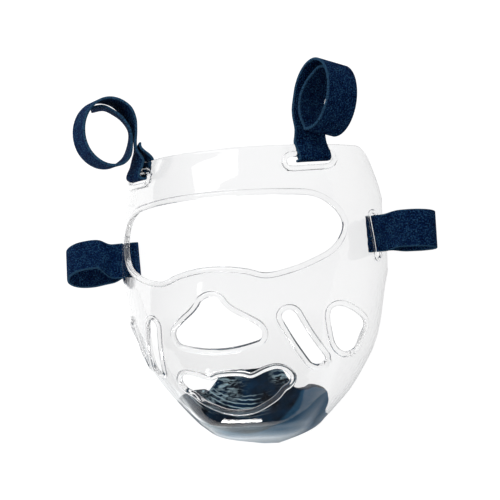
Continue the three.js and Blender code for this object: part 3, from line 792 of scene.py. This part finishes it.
# %% Dipped vinyl, painted highlights at the bends
# The places of the two bends, and how far the painted highlights reach and where they are full, in metres.
BENDS = [((-0.021, -0.0835, 0.034), 0.022, 0.002), ((0.022, -0.0765, 0.03), 0.012, 0.001)]
STREAK_TURN, STREAK_LONG = -0.25, (0.4, 1, 1)       # the streaks run along the bend, 2.5 times as long as wide

beside = []
for place, reach, full in BENDS:
    away = add(tree_v, "ShaderNodeVectorMath", {1: place}, {0: (coords, "Object")}, operation="DISTANCE")
    beside.append(add(tree_v, "ShaderNodeMapRange", {"From Min": reach, "From Max": full},
                      {"Value": (away, "Value")}, interpolation_type="SMOOTHSTEP"))
bends = add(tree_v, "ShaderNodeMath", links={0: (beside[0], "Result"), 1: (beside[1], "Result")},
            operation="MAXIMUM")
combed = add(tree_v, "ShaderNodeMapping", {"Rotation": (0, 0, STREAK_TURN), "Scale": STREAK_LONG},
             {"Vector": (coords, "Object")})
bend_highlight_noise = add(tree_v, "ShaderNodeTexNoise", {"Scale": per_mm(1.8), "Detail": 3, "Distortion": 0.6},
            {"Vector": (combed, "Vector")})
streaks = add(tree_v, "ShaderNodeMapRange", {"From Min": 0.47, "From Max": 0.66}, {"Value": (bend_highlight_noise, "Fac")})
# Painted highlights: streaks near the two bends that the finish paints near-white, standing in for glare on the
# glossy skin.
bend_highlights = add(tree_v, "ShaderNodeMath", links={0: (bends, "Value"), 1: (streaks, "Result")}, operation="MULTIPLY")
print("painted_highlights at", len(BENDS), "bends")

# %% Dipped vinyl, creases below the mouth, painted as highlights
CUP_MIDDLE = (0, 0.045, 0)      # m, moves the middle of the cup to the pattern's zero
CREASE_REACH = 0.066            # m from there to the middle of the creased zone
CREASE_STEP = 2.6               # mm between creases
WAVE_UNIT = 0.314               # a wave texture repeats after this much of its own unit

about = add(tree_v, "ShaderNodeMapping", {"Location": CUP_MIDDLE}, {"Vector": (coords, "Object")})
rounds = add(tree_v, "ShaderNodeTexWave",
             {"Scale": WAVE_UNIT * per_mm(CREASE_STEP), "Distortion": 1.6, "Detail": 3, "Detail Scale": 2.5},
             {"Vector": (about, "Vector")}, wave_type="RINGS", rings_direction="Z")
thin = add(tree_v, "ShaderNodeMapRange", {"From Min": 0.8, "From Max": 0.95}, {"Value": (rounds, "Fac")})
broken = add(tree_v, "ShaderNodeMapRange", {"From Min": 0.38, "From Max": 0.52}, {"Value": (cloud, "Fac")})
lines = add(tree_v, "ShaderNodeMath", links={0: (thin, "Result"), 1: (broken, "Result")}, operation="MULTIPLY")
reached = add(tree_v, "ShaderNodeVectorMath", links={0: (about, "Vector")}, operation="LENGTH")
apart = add(tree_v, "ShaderNodeMath", {1: CREASE_REACH}, {0: (reached, "Value")}, operation="SUBTRACT")
off = add(tree_v, "ShaderNodeMath", links={0: (apart, "Value")}, operation="ABSOLUTE")
below = add(tree_v, "ShaderNodeMapRange", {"From Min": 0.009, "From Max": 0.005}, {"Value": (off, "Value")})
sides = add(tree_v, "ShaderNodeSeparateXYZ", links={"Vector": (coords, "Object")})
leftward = add(tree_v, "ShaderNodeMapRange", {"From Min": 0.016, "From Max": 0.002}, {"Value": (sides, "X")})
zone = add(tree_v, "ShaderNodeMath", links={0: (below, "Result"), 1: (leftward, "Result")},
           operation="MULTIPLY")
# The creases show only in a band round the cup and to the left, where they are painted near-white as highlights
# caught along them and along the lip in front.
crease_highlights = add(tree_v, "ShaderNodeMath", links={0: (lines, "Value"), 1: (zone, "Value")}, operation="MULTIPLY")
painted_highlight_share = add(tree_v, "ShaderNodeMath", links={0: (bend_highlights, "Value"), 1: (crease_highlights, "Value")}, operation="MAXIMUM")
# Painted highlights: the streaks at the bends and the creases are mixed towards near-white.
with_painted_highlights = add(tree_v, "ShaderNodeMix", {"B": hex_colour("#CCEAF4")},
              {"Factor": (painted_highlight_share, "Value"), "A": (with_painted_sheen, "Result")}, data_type="RGBA")
tree_v.links.new(with_painted_highlights.outputs["Result"], vinyl_shader.inputs["Base Color"])
print("creases every %.1f mm, broken up" % CREASE_STEP)

# %% Dipped vinyl, relief
# The pebbles of a real dip are about half a millimetre. They are drawn at 1.6 mm so that they show.
pebble = add(tree_v, "ShaderNodeTexNoise", {"Scale": per_mm(1.6), "Detail": 3}, {"Vector": (coords, "Object")})
fold = add(tree_v, "ShaderNodeTexNoise", {"Scale": per_mm(6), "Detail": 2, "Distortion": 1.2},
           {"Vector": (coords, "Object")})
skin = add(tree_v, "ShaderNodeBump", {"Strength": 0.35, "Distance": 0.25 * MM}, {"Height": (pebble, "Fac")})
folds = add(tree_v, "ShaderNodeBump", {"Strength": 0.5, "Distance": 0.7 * MM},
            {"Height": (fold, "Fac"), "Normal": (skin, "Normal")})
tree_v.links.new(folds.outputs["Normal"], vinyl_shader.inputs["Normal"])
cushion.data.materials.clear()
cushion.data.materials.append(vinyl)
print("relief on", vinyl.name)

# %% [markdown]
# The straps are nylon webbing with a brushed loop pile, which is dull and speckled, in a deep blue. Real
# fibres would be the truest, but four straps of them are far too heavy, and at this size the eye sees only
# specks. The pattern follows the strip's own UV map in millimetres. The woven selvedge along both edges has
# no pile and shows as a slightly lighter line.

# %% Loop-pile webbing
LOOP, PATCH = 1.1, 6            # mm, loops and patches. Real loops are half this size, too fine to show
SELVEDGE_FROM, SELVEDGE_TO = 11.6, 11.9     # mm from the strip's middle

pile, tree_p, shader = finish_material("loop_pile_webbing", Roughness=0.95, IOR=1.5, Specular_IOR_Level=0.05)
weave = add(tree_p, "ShaderNodeUVMap", uv_map="weave")
fuzz = add(tree_p, "ShaderNodeTexNoise", {"Scale": 1 / LOOP, "Detail": 3}, {"Vector": (weave, "UV")})
patch = add(tree_p, "ShaderNodeTexNoise", {"Scale": 1 / PATCH, "Detail": 2}, {"Vector": (weave, "UV")})
both = add(tree_p, "ShaderNodeMath", {1: 0.3}, {0: (patch, "Fac"), 2: (fuzz, "Fac")}, operation="MULTIPLY_ADD")
shade = add(tree_p, "ShaderNodeValToRGB", links={"Fac": (both, "Value")},
            stops=[(0.52, hex_colour("#071F4E")), (0.66, hex_colour("#123F80")), (0.8, hex_colour("#4A86B4"))])
lanes = add(tree_p, "ShaderNodeSeparateXYZ", links={"Vector": (weave, "UV")})
from_middle = add(tree_p, "ShaderNodeMath", links={0: (lanes, "Y")}, operation="ABSOLUTE")
selvedge = add(tree_p, "ShaderNodeMapRange", {"From Min": SELVEDGE_FROM, "From Max": SELVEDGE_TO},
               {"Value": (from_middle, "Value")})
edged = add(tree_p, "ShaderNodeMix", {"B": hex_colour("#4A7CA6")},
            {"Factor": (selvedge, "Result"), "A": (shade, "Color")}, data_type="RGBA")
tree_p.links.new(edged.outputs["Result"], shader.inputs["Base Color"])
loops_up = add(tree_p, "ShaderNodeBump", {"Strength": 0.8, "Distance": 0.4}, {"Height": (fuzz, "Fac")})
tree_p.links.new(loops_up.outputs["Normal"], shader.inputs["Normal"])
for strap in (top_left, top_right, side_left, side_right):
    strap.data.materials.append(pile)
print("finish:", pile.name)

# %% [markdown]
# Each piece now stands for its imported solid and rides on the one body, since nothing on the shield is
# hinged.

# %% Pieces on the frame
for piece, node, slot in (
        (shell, "shield_shell", "clear_shell"), (cushion, "chin_pad", "pad_vinyl"),
        (top_left, "top_strap_left", "strap_webbing"), (top_right, "top_strap_right", "strap_webbing"),
        (side_left, "side_strap_left", "strap_webbing"), (side_right, "side_strap_right", "strap_webbing")):
    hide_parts(node)
    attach(piece, "root")
print("pieces:", sorted(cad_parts))

# %% [markdown]
# The set is a sheet of opal plastic that glows from below, as for photographs of glass: it leaves no
# shadow. A clear piece shows only what it bends and mirrors, so the look of the chin depends on what lies
# beyond it. A studio would lay cards and cloths there, out of the picture. Here the sheet stands in for
# them: seen straight or through the plastic it is plain white, and in mirrored light it is bright just
# beyond the chin, and dark and blue further out.

# %% Floor
bpy.ops.object.select_all(action="DESELECT")
bpy.ops.mesh.primitive_plane_add(size=8, location=(0, 0, -0.2 * MM))
floor = bpy.context.active_object
floor.name = "opal_floor"
opal, tree_f, shader = finish_material(
    "opal_sheet", Roughness=0.9, Base_Color=hex_colour("#8A8A8A"), Emission_Strength=1)
coords = add(tree_f, "ShaderNodeTexCoord")
spot = add(tree_f, "ShaderNodeSeparateXYZ", links={"Vector": (coords, "Object")})
print("floor:", opal.name)

# %% Floor in mirrored light
# The ramp's stops are amounts of light, so they are linear and may pass 1.
# In mirrored light the floor darkens sharply at the chin's rim and stays dim under the shield: a painted shadow
# of it.
beyond = add(tree_f, "ShaderNodeMapRange", {"From Min": -0.34, "From Max": -0.06}, {"Value": (spot, "Y")})
cards = add(tree_f, "ShaderNodeValToRGB", links={"Fac": (beyond, "Result")}, stops=[
    (0, [0.06, 0.1, 0.14, 1]), (0.27, [0.45, 0.6, 0.7, 1]), (0.5, [1.15, 1.35, 1.45, 1]),
    (0.7, [1.35, 1.42, 1.44, 1]), (0.76, [0.15, 0.18, 0.2, 1]), (1, [0.6, 0.6, 0.6, 1])])
leftwards = add(tree_f, "ShaderNodeMapRange",
                {"From Min": 0.1, "From Max": -0.1, "To Min": 0.3, "To Max": 1.7}, {"Value": (spot, "X")})
far_left = add(tree_f, "ShaderNodeMapRange", {"From Min": -0.16, "From Max": -0.11, "To Min": 0.05},
               {"Value": (spot, "X")})
close_by = add(tree_f, "ShaderNodeMapRange", {"From Min": -0.13, "From Max": -0.09}, {"Value": (spot, "Y")})
kept = add(tree_f, "ShaderNodeMath", links={0: (far_left, "Result"), 1: (close_by, "Result")},
           operation="MAXIMUM")
level = add(tree_f, "ShaderNodeMath", links={0: (leftwards, "Result"), 1: (kept, "Value")},
            operation="MULTIPLY")
toned = add(tree_f, "ShaderNodeVectorMath", links={0: (cards, "Color"), "Scale": (level, "Value")},
            operation="SCALE")
ray_kind = add(tree_f, "ShaderNodeLightPath")
straight = add(tree_f, "ShaderNodeMath", operation="MAXIMUM",
               links={0: (ray_kind, "Is Camera Ray"), 1: (ray_kind, "Is Transmission Ray")})
glow = add(tree_f, "ShaderNodeMix", {"B": [0.95, 0.95, 0.95, 1]},
           {"Factor": (straight, "Value"), "A": (toned, "Vector")}, data_type="RGBA")
tree_f.links.new(glow.outputs["Result"], shader.inputs["Emission Color"])
floor.data.materials.append(opal)
print("floor nodes:", len(tree_f.nodes))

# %% [markdown]
# The room above is dim and even, and dark low down beyond the chin, so that the slope of the chin doesn't
# turn white. A window over the brow and a lamp in front of the chin give the two highlights. Light that
# enters a lip runs along inside the wall and needs some twenty reflections to come out at the rim, so the
# number of bounces is raised.

# %% Room
BOUNCES = 32

world = bpy.data.worlds.new("studio")
bpy.context.scene.world = world
world.use_nodes = True
sky = world.node_tree
back = sky.nodes["Background"]
for kind in ("max_bounces", "transmission_bounces", "glossy_bounces"):
    setattr(bpy.context.scene.cycles, kind, BOUNCES)
where = add(sky, "ShaderNodeTexCoord")
split = add(sky, "ShaderNodeSeparateXYZ", links={"Vector": (where, "Generated")})
high = add(sky, "ShaderNodeMapRange", {"From Min": 0.5, "From Max": 0.75}, {"Value": (split, "Z")})
sideways = add(sky, "ShaderNodeMapRange", {"From Min": -0.6, "From Max": -0.2}, {"Value": (split, "Y")})
lit = add(sky, "ShaderNodeMath", links={0: (high, "Result"), 1: (sideways, "Result")}, operation="MAXIMUM")
fade = add(sky, "ShaderNodeValToRGB", links={"Fac": (lit, "Value")},
           stops=[(0, [0.02, 0.025, 0.035, 1]), (1, [0.42, 0.43, 0.45, 1])])
sky.links.new(fade.outputs["Color"], back.inputs["Color"])
print("room:", world.name, "with", BOUNCES, "bounces")


# %% Lights
def soft_light(name, place, aim, size, power):
    """An area light, in metres and watts, that faces the aim."""
    place, aim = Vector(place), Vector(aim)
    bpy.ops.object.light_add(type="AREA", location=place)
    light = bpy.context.active_object
    light.name = name
    light.rotation_euler = (aim - place).to_track_quat("-Z", "Y").to_euler()
    light.data.shape = "RECTANGLE"
    light.data.size, light.data.size_y = size
    light.data.energy = power
    print("%s: %.0f x %.0f mm" % (name, size[0] / MM, size[1] / MM))


soft_light("window", (-0.06, 0.28, 0.37), (0, 0.06, 0.08), (0.34, 0.18), 0.5)
soft_light("chin_lamp", (-0.136, -0.43, 0.115), (0, -0.105, 0.056), (0.135, 0.06), 0.5)

# %% [markdown]
# The camera stands where the photograph's did: high above the face and a little to its right. Its right and
# up directions are given, and the third follows from them. The plain view transform keeps the white floor
# white.

# %% Camera
CAMERA_AT = Vector((289.0, FACE_Y, 872.1)) * MM
RIGHT, UP = Vector((0.9442, -0.0922, -0.3161)), Vector((0.0874, 0.9957, -0.0293))
LENS, SENSOR = 92.57, 36        # mm

bpy.ops.object.camera_add(location=CAMERA_AT)
camera = bpy.context.active_object
camera.rotation_euler = Matrix((RIGHT, UP, RIGHT.cross(UP))).transposed().to_euler()
camera.data.lens, camera.data.sensor_width = LENS, SENSOR
bpy.context.scene.camera = camera
bpy.context.scene.view_settings.view_transform = "Standard"
print("camera at", [round(c, 3) for c in camera.location])
